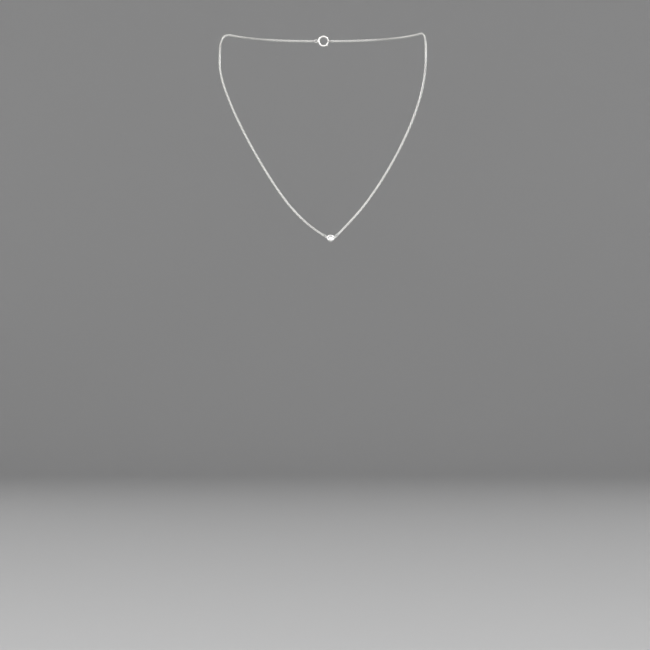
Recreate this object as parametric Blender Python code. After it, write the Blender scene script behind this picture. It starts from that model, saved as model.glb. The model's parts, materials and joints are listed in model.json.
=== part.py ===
"""Fine pendant necklace: a bezel-set round stone on a cable chain, closed by a spring-ring clasp.

The necklace is modelled as it hangs when worn. The front of the chain falls in one upright
plane, the back of it lies round the neck, and the clasp is at the nape, which is the origin.
+Z is up, the stone faces -Y, and the wearer's right hand is at -X.

The chain is drawn as the outer envelope of its oval links, in short runs that meet ball to
ball. Each ball is centred on the contact between two links, which is where the chain folds.
Lengths below are in millimetres, angles in degrees.
"""

import math

import bmesh
import bpy
import numpy as np
from mathutils import Matrix

MM = 0.001

# The whole necklace
NECK_DEPTH = 61.2  # from the clasp to the plane in which the front hangs
NAPE_ABOVE_PENDANT = 104.0
SHOULDER_BEND = 9.5  # radius at which the chain turns back over the collar bone

# The front of the chain, as (x, z) measured from the middle of the pendant
PENDANT_X = 3.6
LEFT_DRAPE = ((-17.1, 12.5), (-29.8, 29.3), (-42.5, 51.2), (-52.5, 73.5), (-55.5, 87.4))
RIGHT_DRAPE = ((15.2, 14.6), (26.1, 30.0), (36.5, 49.0), (44.7, 70.5), (47.6, 90.7))
LEFT_PULL = 31.5  # angle over the horizontal at which the chain leaves the pendant
RIGHT_PULL = 45.2
FRONT_FOLDS = 8
NECK_RUNS = 5

# Cable chain
LINK_PITCH = 1.15
CHAIN_RADIUS = 0.6
CHAIN_SIDES = 8
RUN_GAP = 0.04
RUN_STEP = 2.4

# Round brilliant stone, as shares of its diameter or as facet angles
STONE_DIAMETER = 3.0
STONE_TABLE = 0.57
STONE_GIRDLE = 0.02
CROWN_ANGLE = 34.5
PAVILION_ANGLE = 40.75
STAR_LENGTH = 0.5
LOWER_HALF_LENGTH = 0.77

# Bezel cup: radii, and depths measured back from the stone's table
CUP_RADIUS = 2.0
CUP_COLLAR_DEPTH = 1.0
CUP_DEPTH = 2.85
CUP_BACK_RADIUS = 0.85
CUP_BACK_HOLE = 0.42
CUP_WAIST_RADIUS = 1.22  # inside, under the seat
CUP_WAIST_DEPTH = 1.15
LIP_HOLD = 0.13  # how far the lip reaches over the girdle
LIP_DEPTH = 0.12
STONE_GAP = 0.03
CUP_SEGMENTS = 48

# Wire loops: two on the cup, a jump ring in each, and the two rings of the clasp
LOOP_MAJOR, LOOP_MINOR = 0.5, 0.15
LOOP_DEPTH = 0.55
LOOP_RISE = 0.76  # over the middle of the stone
LOOP_SINK = 0.07  # how far a loop is sunk into the cup's wall
JUMP_MAJOR, JUMP_MINOR = 0.8, 0.16
JUMP_TWIST = 38.0  # of a jump ring about the chain, from edge on
WIRE_GAP = 0.03
RING_END_CLEARANCE = 1.05  # from a ring's contact to the middle of a run's end ball

# Spring-ring clasp, as angles round it from the middle of its mouth
CLASP_MAJOR, CLASP_TUBE = 2.45, 0.55
CLASP_BORE = 0.38
CLASP_MOUTH = 32.0  # half of it
CLASP_STOP = 172.0  # where the bore ends
BOLT_RADIUS = 0.3
BOLT_TIP, BOLT_TAIL = 38.0, -70.0
NIB_ANGLE = -50.0
NIB_HALF_WIDTH = 4.5
NIB_RADIUS = 0.25
NIB_TOP = 3.42
NIB_HEAD_RADIUS = 0.42
NIB_HEAD_THICKNESS = 0.28
SLOT_HALF_WIDTH = 0.31
BOLT_TRAVEL = 66.0
SPRING_RADIUS, SPRING_WIRE = 0.26, 0.055
SPRING_TURNS = 11
EYELET_MAJOR, EYELET_MINOR = 0.75, 0.2
END_RING_MAJOR, CATCH_RING_MAJOR = 0.95, 1.2
CLASP_RING_MINOR = 0.2
SOLDER_GAP = 0.02

# Weight, for the angle at which the pendant hangs: grams per cubic centimetre
METAL_DENSITY, STONE_DENSITY = 7.85, 2.5

X, Y, Z = np.eye(3)


# Outlines and routes


def unit(vector):
    return np.asarray(vector, float) / np.linalg.norm(vector)


def turned(vector, axis, degrees):
    """A vector turned by the right-hand rule about an axis through the origin."""
    rotation = np.array(Matrix.Rotation(math.radians(degrees), 3, tuple(axis)))
    return rotation @ vector


def smooth_curve(points, first_way, last_way, samples=3000):
    """A cubic spline through the points, sampled finely, that starts and ends these ways."""
    points = np.array(points, float)
    chords = np.linalg.norm(np.diff(points, axis=0), axis=1)
    slopes = np.diff(points, axis=0) / chords[:, None]
    slopes = np.vstack([first_way, slopes, last_way])
    spans = np.concatenate([[0], chords, [0]])
    count = len(points)
    system = np.zeros((count, count))
    for i in range(count):
        system[i, i] = 2 * (spans[i] + spans[i + 1])
        if i:
            system[i, i - 1] = spans[i]
        if i < count - 1:
            system[i, i + 1] = spans[i + 1]
    bends = np.linalg.solve(system, 6 * np.diff(slopes, axis=0))
    knots = np.concatenate([[0], np.cumsum(chords)])
    along = np.linspace(0, knots[-1], samples)
    span = np.clip(np.searchsorted(knots, along, side="right") - 1, 0, count - 2)
    width = chords[span][:, None]
    after = (along[:, None] - knots[span][:, None]) / width
    before = 1 - after
    straight = before * points[span] + after * points[span + 1]
    bulge = (before**3 - before) * bends[span] + (after**3 - after) * bends[span + 1]
    return straight + bulge * width**2 / 6


def at_lengths(curve, lengths):
    """The points of a finely sampled curve at these distances along it."""
    steps = np.linalg.norm(np.diff(curve, axis=0), axis=1)
    travelled = np.concatenate([[0], np.cumsum(steps)])
    return np.column_stack([np.interp(lengths, travelled, curve[:, k]) for k in range(3)])


def curve_length(curve):
    return float(np.linalg.norm(np.diff(curve, axis=0), axis=1).sum())


def strand_route(drape, start, pull, end):
    """One half of the chain's middle line, from the pendant's jump ring to the clasp's ring.

    It hangs in one upright plane up to its widest point. There it turns back over the collar
    bone, climbs to the height of the nape, and goes on level round the neck."""
    hanging = [(PENDANT_X + x, start[1], z - NAPE_ABOVE_PENDANT) for x, z in drape]
    front = smooth_curve([start, *hanging], unit(pull * (X + Z)), Z)
    widest = front[-1]
    rise = -widest[2]
    climb = rise**2 / SHOULDER_BEND
    angle = np.linspace(0, 1, 3000)[1:] ** 2 * math.pi / 2
    x = end[0] + (widest[0] - end[0]) * np.cos(angle)
    y = widest[1] * (1 - np.sin(angle))
    gone = np.minimum(1.0, (y - widest[1]) / climb)
    z = widest[2] + rise * np.sqrt(1 - (1 - gone) ** 2)
    return np.vstack([front, np.column_stack([x, y, z])])


# Meshes, as (points, faces)


def frames_along(path, closed=False):
    """A pair of unit vectors across the path at each of its points, carried along untwisted."""
    path = np.asarray(path, float)
    if closed:
        tangents = np.roll(path, -1, 0) - np.roll(path, 1, 0)
    else:
        tangents = np.gradient(path, axis=0)
    tangents /= np.linalg.norm(tangents, axis=1)[:, None]
    across = np.cross(tangents[0], Y if abs(tangents[0][1]) < 0.9 else X)
    firsts = []
    for tangent in tangents:
        across = unit(across - tangent * (across @ tangent))
        firsts.append(across)
    firsts = np.array(firsts)
    return firsts, np.cross(tangents, firsts)


def swept(path, radii, sides, closed=False):
    """A round bar along a path, whose end radii of zero come to a point."""
    path = np.asarray(path, float)
    radii = np.broadcast_to(radii, len(path))
    first, second = frames_along(path, closed)
    points, faces, rings = [], [], []
    for i, centre in enumerate(path):
        if radii[i] == 0:
            rings.append([len(points)] * sides)
            points.append(centre)
            continue
        rings.append(list(range(len(points), len(points) + sides)))
        for k in range(sides):
            angle = 2 * math.pi * k / sides
            arm = math.cos(angle) * first[i] + math.sin(angle) * second[i]
            points.append(centre + radii[i] * arm)
    pairs = list(zip(rings, rings[1:]))
    if closed:
        pairs.append((rings[-1], rings[0]))
    for low, high in pairs:
        for k in range(sides):
            following = (k + 1) % sides
            corners = low[k], low[following], high[following], high[k]
            faces.append(list(dict.fromkeys(corners)))
    if not closed:
        if radii[0]:
            faces.append(rings[0][::-1])
        if radii[-1]:
            faces.append(rings[-1])
    return np.array(points), faces


def ring(centre, normal, major, minor, segments=28, sides=8):
    """A closed wire ring."""
    spoke = unit(np.cross(normal, Z if abs(normal[2]) < 0.9 else X))
    other = np.cross(normal, spoke)
    turns = np.arange(segments) * 2 * math.pi / segments
    path = centre + major * (np.outer(np.cos(turns), spoke) + np.outer(np.sin(turns), other))
    return swept(path, minor, sides, closed=True)


def lathe(profile, segments):
    """A closed (radius, depth) outline turned about the depth axis, which points to +Y."""
    count = len(profile)
    points = []
    for i in range(segments):
        angle = 2 * math.pi * i / segments
        points += [(r * math.cos(angle), depth, r * math.sin(angle)) for r, depth in profile]
    faces = []
    for i in range(segments):
        here, there = i * count, (i + 1) % segments * count
        for k in range(count):
            following = (k + 1) % count
            faces.append([here + k, there + k, there + following, here + following])
    return np.array(points), faces


def volume_and_middle(points, faces):
    """The volume and the centre of mass of a closed mesh."""
    volume, moment = 0.0, np.zeros(3)
    for face in faces:
        for i in range(1, len(face) - 1):
            a, b, c = points[face[0]], points[face[i]], points[face[i + 1]]
            piece = a @ np.cross(b, c) / 6
            volume += piece
            moment += piece * (a + b + c) / 4
    return volume, moment / volume


# Pieces of the pendant, first upright: the stone faces -Y and its table is at depth zero


def stone_heights():
    """Depths of the girdle's two edges and the culet, and (radius, depth) of the star points."""
    radius = STONE_DIAMETER / 2
    table = STONE_TABLE * radius
    crown = (radius - table) * math.tan(math.radians(CROWN_ANGLE))
    below = crown + STONE_GIRDLE * STONE_DIAMETER
    culet = below + radius * math.tan(math.radians(PAVILION_ANGLE))
    half_step = math.cos(math.radians(22.5))
    star = (table + STAR_LENGTH * (radius - table)) / half_step
    return crown, below, culet, (star, crown * STAR_LENGTH)


def brilliant():
    """The standard round brilliant: table, stars, kites and halves over and under the girdle."""
    radius = STONE_DIAMETER / 2
    crown, below, culet, (star_radius, star_depth) = stone_heights()
    half_step = math.cos(math.radians(22.5))
    reach = radius * (1 - LOWER_HALF_LENGTH)
    lower_depth = culet - (culet - below) * reach / radius
    points = []

    def around(count, ring_radius, depth, offset=0.0):
        start = len(points)
        for k in range(count):
            angle = math.radians(offset + 360 * k / count)
            points.append((ring_radius * math.cos(angle), depth, ring_radius * math.sin(angle)))
        return [start + k for k in range(count)]

    table = around(8, STONE_TABLE * radius, 0.0)
    stars = around(8, star_radius, star_depth, 22.5)
    upper = around(16, radius, crown)
    lower = around(16, radius, below)
    halves = around(8, reach / half_step, lower_depth, 22.5)
    tip = around(1, 0.0, culet)[0]
    faces = [table[::-1]]
    for k in range(8):
        following, behind = (k + 1) % 8, (k - 1) % 8
        corner, middle, far = 2 * k, 2 * k + 1, (2 * k + 2) % 16
        faces.append([table[k], table[following], stars[k]])
        faces.append([stars[behind], table[k], stars[k], upper[corner]])
        faces.append([stars[k], upper[middle], upper[corner]])
        faces.append([stars[k], upper[far], upper[middle]])
        faces.append([upper[corner], upper[middle], lower[middle], lower[corner]])
        faces.append([upper[middle], upper[far], lower[far], lower[middle]])
        faces.append([halves[k], lower[corner], lower[middle]])
        faces.append([halves[k], lower[middle], lower[far]])
        faces.append([tip, halves[behind], lower[corner], halves[k]])
    return np.array(points), faces


def cup_outline():
    """The cup's section: a lip over the girdle, a straight collar, and a taper to a flat back."""
    radius = STONE_DIAMETER / 2
    crown, below, _, (star_radius, star_depth) = stone_heights()
    steep = (crown - star_depth) / (radius - star_radius)
    wall = radius + STONE_GAP
    grip = radius - LIP_HOLD
    seat_slope = math.tan(math.radians(PAVILION_ANGLE + 1))
    seat_end = below + STONE_GAP + (radius - CUP_WAIST_RADIUS) * seat_slope
    lip_middle = (grip + CUP_RADIUS) / 2
    return [
        (grip, crown - LIP_HOLD * steep - 1.5 * STONE_GAP),
        (wall, crown - STONE_GAP),
        (wall, below + STONE_GAP),
        (CUP_WAIST_RADIUS, seat_end),
        (CUP_WAIST_RADIUS, CUP_WAIST_DEPTH),
        (CUP_BACK_HOLE, CUP_DEPTH - CUP_BACK_HOLE),
        (CUP_BACK_HOLE, CUP_DEPTH),
        (CUP_BACK_RADIUS - 0.06, CUP_DEPTH),
        (CUP_BACK_RADIUS, CUP_DEPTH - 0.08),
        (CUP_RADIUS - 0.03, CUP_COLLAR_DEPTH + 0.08),
        (CUP_RADIUS, CUP_COLLAR_DEPTH - 0.08),
        (CUP_RADIUS, LIP_DEPTH + 0.26),
        (CUP_RADIUS - 0.07, LIP_DEPTH + 0.1),
        (CUP_RADIUS - 0.2, LIP_DEPTH),
        (lip_middle - 0.02, LIP_DEPTH),
        (grip + 0.06, LIP_DEPTH + 0.07),
    ]


def loop_middle(side):
    """The middle of one of the cup's two loops, on the upright pendant."""
    out = CUP_RADIUS + LOOP_MAJOR - LOOP_SINK
    return np.array([side * math.sqrt(out**2 - LOOP_RISE**2), LOOP_DEPTH, LOOP_RISE])


def loop_pull(side):
    """The direction in the stone's face in which the jump ring pulls on a loop."""
    angle = math.radians((LEFT_PULL + RIGHT_PULL) / 2)
    return side * math.cos(angle) * X + math.sin(angle) * Z


def loop_contact(side):
    """Where a loop's wire and its jump ring's wire touch, on the upright pendant."""
    return loop_middle(side) + (LOOP_MAJOR - LOOP_MINOR - WIRE_GAP / 2) * loop_pull(side)


class Pendant:
    """The pendant's pieces turned to the angle at which they hang from their two loops."""

    def __init__(self):
        cup = lathe(cup_outline(), CUP_SEGMENTS)
        stone = brilliant()
        loops = {side: ring(loop_middle(side), -Y, LOOP_MAJOR, LOOP_MINOR) for side in (-1, 1)}
        weights = [(METAL_DENSITY, mesh) for mesh in (cup, *loops.values())]
        weights.append((STONE_DENSITY, stone))
        mass, moment = 0.0, np.zeros(3)
        for density, mesh in weights:
            volume, middle = volume_and_middle(*mesh)
            mass += density * volume
            moment += density * volume * middle
        contact = loop_contact(1)
        behind = moment / mass - contact
        self.tilt = math.degrees(math.atan2(behind[1], -behind[2]))
        self.axis_on_cup = np.array([0.0, contact[1], contact[2]])
        # the cup's silhouette is NAPE_ABOVE_PENDANT below the nape at its middle height
        self.axis = np.zeros(3)
        heights = self.placed(cup[0])[:, 2]
        middle = (heights.min() + heights.max()) / 2
        self.axis = np.array([PENDANT_X, -NECK_DEPTH, -NAPE_ABOVE_PENDANT - middle])
        self.cup, self.stone, self.loops = cup, stone, loops

    def placed(self, points):
        """Points of the upright pendant, where they are once it hangs."""
        rotation = np.array(Matrix.Rotation(math.radians(-self.tilt), 3, "X"))
        return (points - self.axis_on_cup) @ rotation.T + self.axis

    def hung(self, mesh):
        return self.placed(mesh[0]), mesh[1]

    def direction(self, vector):
        return turned(vector, X, -self.tilt)

    def jump_ring(self, side, pull_degrees):
        """(the ring's middle, its normal, the link's contact, the way the chain leaves)."""
        pull = math.radians(pull_degrees)
        contact = self.placed(loop_contact(side))
        wire = contact - (JUMP_MINOR + WIRE_GAP / 2) * self.direction(loop_pull(side))
        chain = unit(side * math.cos(pull) * X + math.sin(pull) * Z)
        # the link's contact stays straight over the loop's, so that nothing swings
        reach = 2 * JUMP_MAJOR - JUMP_MINOR
        chain = unit(chain + Y * (contact[1] - wire[1]) / reach)
        flat = turned(np.cross(np.cross(chain, -Y), chain), chain, -side * JUMP_TWIST)
        normal = unit(np.cross(chain, flat))
        return wire + JUMP_MAJOR * chain, normal, wire + reach * chain, chain


# Pieces of the clasp, which hangs edge on to the neck with its bolt side down


def clasp_points(degrees, radius=CLASP_MAJOR):
    angles = np.radians(np.atleast_1d(degrees))
    return radius * (np.outer(np.cos(angles), X) + np.outer(np.sin(angles), Z))


def arc(first, last, step=9.0):
    return np.linspace(first, last, max(2, round(abs(last - first) / step) + 1))


def clasp_tube():
    """A C-shaped tube whose bore is open at both sides of the mouth and closed at the back."""
    sides = 12
    outside = arc(CLASP_MOUTH, 360 - CLASP_MOUTH)
    upper, lower = arc(CLASP_MOUTH, CLASP_STOP), arc(360 - CLASP_MOUTH, 360 - CLASP_STOP)
    outer = swept(clasp_points(outside), CLASP_TUBE, sides)
    bores = [swept(clasp_points(part), CLASP_BORE, sides) for part in (upper, lower)]
    points, faces = [outer[0]], list(outer[1][:-2])
    mouths = [list(range(sides)), list(range(len(outer[0]) - sides, len(outer[0])))]
    for (bore_points, bore_faces), mouth, flip in zip(bores, mouths, (True, False)):
        start = sum(len(p) for p in points)
        points.append(bore_points)
        faces += [[start + i for i in face[::-1]] for face in bore_faces[:-2]]
        faces.append([start + i for i in bore_faces[-1][::-1]])
        rim = list(range(start, start + sides))
        matched = match_rings(points, mouth, rim)
        for k in range(sides):
            following = (k + 1) % sides
            face = [mouth[k], matched[k], matched[following], mouth[following]]
            faces.append(face if flip else face[::-1])
    return np.concatenate(points), faces


def match_rings(points, outer, inner):
    """The inner ring's indices in the order in which they face the outer ring's."""
    every = np.concatenate(points)
    gaps = np.linalg.norm(every[outer][:, None] - every[inner][None], axis=2)
    return [inner[k] for k in gaps.argmin(axis=1)]


def slot_cutter():
    """What the nib's slot removes from the tube: a curved bar through its outer wall."""
    ends = NIB_ANGLE + NIB_HALF_WIDTH + 1.5, NIB_ANGLE - BOLT_TRAVEL - NIB_HALF_WIDTH - 1.5
    angles = arc(*ends, step=6.0)
    inner, outer = CLASP_MAJOR + 0.05, CLASP_MAJOR + CLASP_TUBE + 0.3
    corners = ((inner, -1), (outer, -1), (outer, 1), (inner, 1))
    points = []
    for angle in angles:
        for radius, way in corners:
            points.append(clasp_points(angle, radius)[0] + way * SLOT_HALF_WIDTH * Y)
    faces = []
    for i in range(len(angles) - 1):
        for k in range(4):
            a, b = 4 * i + k, 4 * i + (k + 1) % 4
            faces.append([a, b, b + 4, a + 4])
    last = 4 * len(angles)
    faces += [[3, 2, 1, 0], [last - 4, last - 3, last - 2, last - 1]]
    return np.array(points), faces


def ring_places():
    """Where the eyelet, the end ring and the catch ring have their middles, along X."""
    eyelet = -(CLASP_MAJOR + CLASP_TUBE + SOLDER_GAP + EYELET_MAJOR + EYELET_MINOR)
    through_eyelet = eyelet - EYELET_MAJOR + EYELET_MINOR + WIRE_GAP + CLASP_RING_MINOR
    round_bolt = CLASP_MAJOR - BOLT_RADIUS - WIRE_GAP - CLASP_RING_MINOR
    return eyelet, through_eyelet - END_RING_MAJOR, round_bolt + CATCH_RING_MAJOR


def nib():
    """The thumb catch: a stem from the bolt out through the slot, and a flat round head."""
    outward = clasp_points(NIB_ANGLE, 1.0)[0]
    neck = NIB_TOP - NIB_HEAD_THICKNESS
    radii = (CLASP_MAJOR, neck, neck, NIB_TOP - 0.06, NIB_TOP)
    widths = (NIB_RADIUS, NIB_RADIUS, NIB_HEAD_RADIUS, NIB_HEAD_RADIUS, NIB_HEAD_RADIUS - 0.08)
    return swept([r * outward for r in radii], widths, 12)


def spring_coil():
    """The coil spring in the bore, between the bolt's tail and the closed end."""
    steps = 10 * SPRING_TURNS
    angles = np.linspace(BOLT_TAIL - 3.0, -CLASP_STOP + 3.0, steps + 1)
    turns = 2 * math.pi * np.arange(steps + 1) / 10
    outward = clasp_points(angles, 1.0)
    offset = np.cos(turns)[:, None] * outward + np.outer(np.sin(turns), Y)
    return swept(clasp_points(angles) + SPRING_RADIUS * offset, SPRING_WIRE, 4)


# Blender objects


def surface(name, colour, roughness, metallic=1.0):
    material = bpy.data.materials.new(name)
    material.use_nodes = True
    shader = material.node_tree.nodes["Principled BSDF"]
    shader.inputs["Base Color"].default_value = (*colour, 1.0)
    shader.inputs["Roughness"].default_value = roughness
    shader.inputs["Metallic"].default_value = metallic
    return material


class Bodies:
    """Empties on the joints' axes, each under the one that it moves with."""

    def __init__(self):
        self.places = {}

    def add(self, name, place, parent=None):
        empty = bpy.data.objects.new(name, None)
        empty.empty_display_size = 2 * MM
        bpy.context.scene.collection.objects.link(empty)
        origin = self.places[parent][1] if parent else np.zeros(3)
        if parent:
            empty.parent = self.places[parent][0]
        empty.location = (np.asarray(place) - origin) * MM
        self.places[name] = empty, np.asarray(place, float)

    def mesh(self, name, shape, material, body, smooth_below=40.0):
        """A mesh object whose origin is its body's axis."""
        points, faces = shape
        parent, origin = self.places[body]
        mesh = bpy.data.meshes.new(name)
        mesh.from_pydata([tuple(p) for p in (points - origin) * MM], [], faces)
        builder = bmesh.new()
        builder.from_mesh(mesh)
        bmesh.ops.recalc_face_normals(builder, faces=builder.faces)
        builder.to_mesh(mesh)
        builder.free()
        if smooth_below:
            mesh.shade_smooth()
            mesh.set_sharp_from_angle(angle=math.radians(smooth_below))
        mesh.materials.append(material)
        made = bpy.data.objects.new(name, mesh)
        made.parent = parent
        bpy.context.scene.collection.objects.link(made)
        return made


def boolean(target, operation, other):
    """Joins a helper to the target or cuts it away, and hides the helper."""
    modifier = target.modifiers.new(other.name, "BOOLEAN")
    modifier.operation = operation
    modifier.object = other
    other.hide_render = True
    other.display_type = "WIRE"


# The necklace


def chain_run(contacts, first, last, shorten_first=0.0, shorten_last=0.0):
    """The envelope of the links between two contacts, with a ball at each end.

    The ball at the first contact is centred on it. The one at the last contact stands off by
    a ball and a gap, because there the next run has its own ball."""
    lengths = np.linalg.norm(np.diff(contacts[first : last + 1], axis=0), axis=1)
    reach = float(lengths.sum())
    begin = shorten_first
    end = reach - (shorten_last or 2 * CHAIN_RADIUS + RUN_GAP)
    count = max(2, round((end - begin) / RUN_STEP)) + 1
    middle = np.linspace(begin, end, count)
    ball = np.radians([0.0, 35.0, 65.0])
    before = begin - CHAIN_RADIUS * np.cos(ball)
    after = end + CHAIN_RADIUS * np.cos(ball[::-1])
    radii = CHAIN_RADIUS * np.concatenate([np.sin(ball), np.ones(count), np.sin(ball[::-1])])
    along = np.concatenate([before, middle, after])
    return swept(extended(contacts[first : last + 1], along), radii, CHAIN_SIDES)


def extended(line, lengths):
    """Points along a line of points, which goes straight on past both of its ends."""
    reach = curve_length(line)
    inside = at_lengths(line, np.clip(lengths, 0, reach))
    start, end = unit(line[1] - line[0]), unit(line[-1] - line[-2])
    under, over = np.minimum(lengths, 0)[:, None], np.maximum(lengths - reach, 0)[:, None]
    return inside + under * start + over * end


class Strand:
    """One half of the chain: the contacts between its links, and the one at its widest."""

    def __init__(self, drape, start, pull, end):
        route = strand_route(drape, start, pull, end)
        self.length = curve_length(route)
        self.links = round(self.length / LINK_PITCH)
        self.contacts = at_lengths(route, np.linspace(0, self.length, self.links + 1))
        top = drape[-1][1] - NAPE_ABOVE_PENDANT
        self.widest = int(np.abs(self.contacts[:, 2] - top).argmin())

    def nearest_height(self, height):
        front = self.contacts[: self.widest + 1, 2]
        return int(np.abs(front - height).argmin())


def fold_contacts(left, right):
    """For each fold from the shoulders down, the contact on the left and on the right."""
    folds = [(left.widest, right.widest)]
    for k in range(1, FRONT_FOLDS):
        share = 1 - k / FRONT_FOLDS
        heights = [s.contacts[round(share * s.widest), 2] for s in (left, right)]
        folds.append(tuple(s.nearest_height(sum(heights) / 2) for s in (left, right)))
    return folds


def main():
    for old in list(bpy.data.objects):
        bpy.data.objects.remove(old)

    silver = surface("polished_silver", (0.86, 0.85, 0.82), 0.14)
    setting = surface("bezel_silver", (0.88, 0.87, 0.85), 0.1)
    spring_steel = surface("spring_steel", (0.6, 0.6, 0.6), 0.25)
    crystal = surface("clear_stone", (0.97, 0.98, 1.0), 0.02, metallic=0.0)
    crystal.node_tree.nodes["Principled BSDF"].inputs["Transmission Weight"].default_value = 1.0

    pendant = Pendant()
    jumps = {-1: pendant.jump_ring(-1, LEFT_PULL), 1: pendant.jump_ring(1, RIGHT_PULL)}
    eyelet_at, end_ring_at, catch_ring_at = ring_places()
    left_end = (end_ring_at - END_RING_MAJOR + CLASP_RING_MINOR) * X
    right_end = (catch_ring_at + CATCH_RING_MAJOR - CLASP_RING_MINOR) * X
    left = Strand(LEFT_DRAPE, *jumps[-1][2:], left_end)
    right = Strand(RIGHT_DRAPE, *jumps[1][2:], right_end)
    folds = fold_contacts(left, right)

    bodies = Bodies()
    bodies.add("neck_chain", (0, 0, 0))
    bodies.add("clasp", (0, 0, 0), "neck_chain")
    bodies.add("clasp_bolt_body", (0, 0, 0), "clasp")
    parent = "neck_chain"
    for k, (a, b) in enumerate(folds, 1):
        place = (left.contacts[a] + right.contacts[b]) / 2
        bodies.add(f"front_fold_{k}", place, parent)
        parent = f"front_fold_{k}"
    bodies.add("pendant_rings", (jumps[-1][2] + jumps[1][2]) / 2, parent)
    bodies.add("pendant", pendant.axis, "pendant_rings")

    for name, strand, which in (("left", left, 0), ("right", right, 1)):
        # round the neck, from the clasp to the shoulder
        stops = np.linspace(strand.links, strand.widest, NECK_RUNS + 1).round().astype(int)
        for k in range(NECK_RUNS):
            at_ring = RING_END_CLEARANCE if k == 0 else 0.0
            shape = chain_run(strand.contacts, stops[k + 1], stops[k], 0.0, at_ring)
            bodies.mesh(f"chain_neck_{name}_{k + 1}", shape, silver, "neck_chain")
        # down the front, from the shoulder to the pendant
        stops = [fold[which] for fold in folds] + [0]
        for k in range(FRONT_FOLDS):
            at_ring = RING_END_CLEARANCE if k == FRONT_FOLDS - 1 else 0.0
            shape = chain_run(strand.contacts, stops[k + 1], stops[k], at_ring)
            bodies.mesh(f"chain_front_{name}_{k + 1}", shape, silver, f"front_fold_{k + 1}")

    for name, side in (("left", -1), ("right", 1)):
        middle, normal = jumps[side][:2]
        shape = ring(middle, normal, JUMP_MAJOR, JUMP_MINOR)
        bodies.mesh(f"pendant_ring_{name}", shape, silver, "pendant_rings")

    cup = bodies.mesh("bezel_cup", pendant.hung(pendant.cup), setting, "pendant")
    for name, side in (("left", -1), ("right", 1)):
        loop = pendant.hung(pendant.loops[side])
        boolean(cup, "UNION", bodies.mesh(f"cup_loop_{name}", loop, setting, "pendant"))
    bodies.mesh("round_stone", pendant.hung(pendant.stone), crystal, "pendant", smooth_below=0)

    tube = bodies.mesh("clasp_tube", clasp_tube(), silver, "clasp")
    boolean(tube, "DIFFERENCE", bodies.mesh("slot_cutter", slot_cutter(), silver, "clasp"))
    bolt_bar = swept(clasp_points(arc(BOLT_TAIL, BOLT_TIP, 7.0)), BOLT_RADIUS, 10)
    bolt = bodies.mesh("clasp_bolt", bolt_bar, silver, "clasp_bolt_body")
    boolean(bolt, "UNION", bodies.mesh("nib", nib(), silver, "clasp_bolt_body"))
    bodies.mesh("clasp_spring", spring_coil(), spring_steel, "clasp")
    eyelet = ring(eyelet_at * X, Y, EYELET_MAJOR, EYELET_MINOR)
    bodies.mesh("clasp_eyelet", eyelet, silver, "clasp")
    end_ring = ring(end_ring_at * X, Z, END_RING_MAJOR, CLASP_RING_MINOR)
    bodies.mesh("end_ring", end_ring, silver, "clasp")
    catch_ring = ring(catch_ring_at * X, Z, CATCH_RING_MAJOR, CLASP_RING_MINOR)
    bodies.mesh("catch_ring", catch_ring, silver, "clasp")


main()
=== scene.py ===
"""Looks of the fine pendant necklace: every link of its chain, its cup, stone and clasp.

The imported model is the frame, and it gives the joints and the places of the rings. The chain's
route is worked out here as it is in the model. Lengths below are in millimetres and angles in
degrees until they reach a mesh. +Z is up and the stone faces -Y.
"""

import json
import math
import random

import bmesh
import bpy
import numpy as np
from mathutils import Matrix, Vector


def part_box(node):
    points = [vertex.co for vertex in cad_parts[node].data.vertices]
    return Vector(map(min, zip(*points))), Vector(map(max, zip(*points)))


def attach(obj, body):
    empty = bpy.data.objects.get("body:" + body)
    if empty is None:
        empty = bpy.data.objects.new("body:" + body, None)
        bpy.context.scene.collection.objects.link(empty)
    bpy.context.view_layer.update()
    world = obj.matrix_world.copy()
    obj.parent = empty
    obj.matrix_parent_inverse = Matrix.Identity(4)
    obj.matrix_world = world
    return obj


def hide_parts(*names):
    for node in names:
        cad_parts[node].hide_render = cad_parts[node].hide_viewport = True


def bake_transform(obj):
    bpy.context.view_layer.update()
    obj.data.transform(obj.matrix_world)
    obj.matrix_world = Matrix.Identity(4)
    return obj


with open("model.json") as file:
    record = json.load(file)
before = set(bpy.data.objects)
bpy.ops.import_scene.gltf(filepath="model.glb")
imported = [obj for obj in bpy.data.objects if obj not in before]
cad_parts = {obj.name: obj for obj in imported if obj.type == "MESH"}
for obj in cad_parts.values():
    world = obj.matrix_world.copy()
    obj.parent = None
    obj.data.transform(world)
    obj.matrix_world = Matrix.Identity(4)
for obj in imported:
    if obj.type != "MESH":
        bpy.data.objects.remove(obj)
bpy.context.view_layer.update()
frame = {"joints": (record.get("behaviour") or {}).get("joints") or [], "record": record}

MM = 0.001
X, Y, Z = np.eye(3)

# The chain's route, as in the model
NAPE_ABOVE_PENDANT = 104.0
SHOULDER_BEND = 9.5
PENDANT_X = 3.6
LEFT_DRAPE = ((-17.1, 12.5), (-29.8, 29.3), (-42.5, 51.2), (-52.5, 73.5), (-55.5, 87.4))
RIGHT_DRAPE = ((15.2, 14.6), (26.1, 30.0), (36.5, 49.0), (44.7, 70.5), (47.6, 90.7))
PULLS = {"left": 31.5, "right": 45.2}
NECK_RUNS = 5

# Links of the chain
LINK_PITCH = 1.15
LINK_WIDTH = 1.2
LINK_WIRE = 0.36
LINK_SIDES = 12
LINK_PLAY = 4.0  # how far a link may be turned about the chain from its regular place
LINK_SOLDER = 1.08  # how much thicker the wire is where the link was closed
SIDE_SHADE_AND_DULLNESS = 0.45  # painted shade and dullness of a link's inner side at its middle, where 1 is that of its ends
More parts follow.
